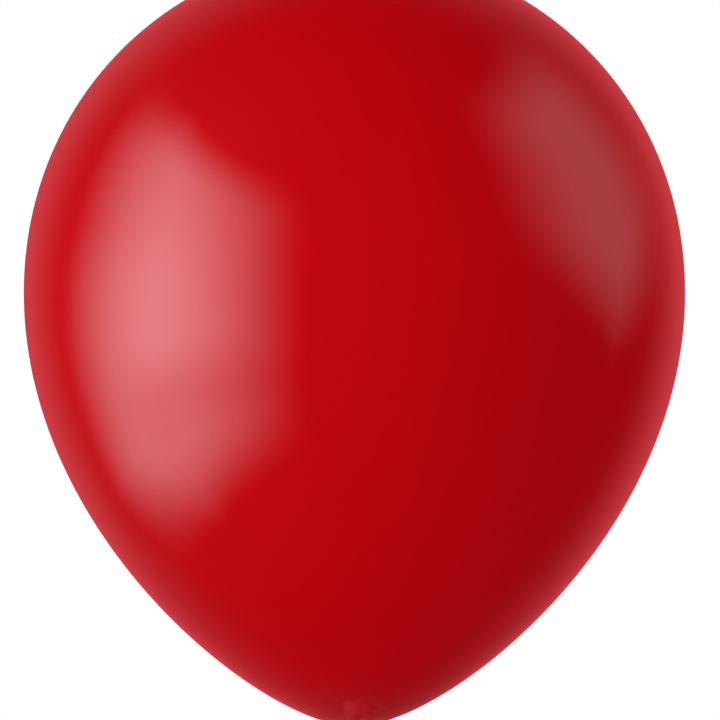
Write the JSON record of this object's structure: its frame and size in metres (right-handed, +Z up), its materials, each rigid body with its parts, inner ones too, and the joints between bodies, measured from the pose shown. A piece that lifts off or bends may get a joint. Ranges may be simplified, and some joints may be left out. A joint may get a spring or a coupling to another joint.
{
  "type": "latex balloon",
  "caption": "Inflated round latex party balloon, tapering to a gathered neck tied off in an overhand knot, with a short flared tail and a rolled lip.",
  "frame": {"origin": "on the axis, at the middle of the tie groove round the neck, just above the knot", "axes": "+Z up the axis from the knot to the crown, which is the longest extent; X and Y are alike"},
  "size_m": [0.3, 0.3, 0.3939],
  "materials": {
    "stretched_latex": "glossy",
    "gathered_latex": "satin",
    "slack_latex": "satin"
  },
  "bodies": {
    "neck": {"neck": "gathered_latex"},
    "throat": {"throat": "stretched_latex"},
    "bulb": {"bulb": "stretched_latex"},
    "knot": {"knot_core": "gathered_latex", "knot_wrap": "gathered_latex"},
    "tail_stem": {"tail_stem": "slack_latex"},
    "tail": {"tail_skirt": "slack_latex", "rolled_lip": "slack_latex"}
  },
  "joints": [
    {"name": "sway_front_back", "type": "hinge", "parent": "neck", "child": "throat", "pos_m": [0, 0, 0.002], "axis": [1, 0, 0], "range_deg": [-20, 20], "stiffness_Nm_per_rad": 0.035},
    {"name": "sway_sideways", "type": "hinge", "parent": "throat", "child": "bulb", "pos_m": [0, 0, 0.002], "axis": [0, 1, 0], "range_deg": [-20, 20], "stiffness_Nm_per_rad": 0.035},
    {"name": "knot_twist", "type": "hinge", "parent": "neck", "child": "knot", "pos_m": [0, 0, -0.0036], "axis": [0, 0, 1], "range_deg": [-90, 90], "stiffness_Nm_per_rad": 0.004},
    {"name": "tail_bend_front_back", "type": "hinge", "parent": "knot", "child": "tail_stem", "pos_m": [0, 0, -0.012], "axis": [1, 0, 0], "range_deg": [-40, 40], "stiffness_Nm_per_rad": 0.002},
    {"name": "tail_bend_sideways", "type": "hinge", "parent": "tail_stem", "child": "tail", "pos_m": [0, 0, -0.012], "axis": [0, 1, 0], "range_deg": [-40, 40], "stiffness_Nm_per_rad": 0.002}
  ]
}
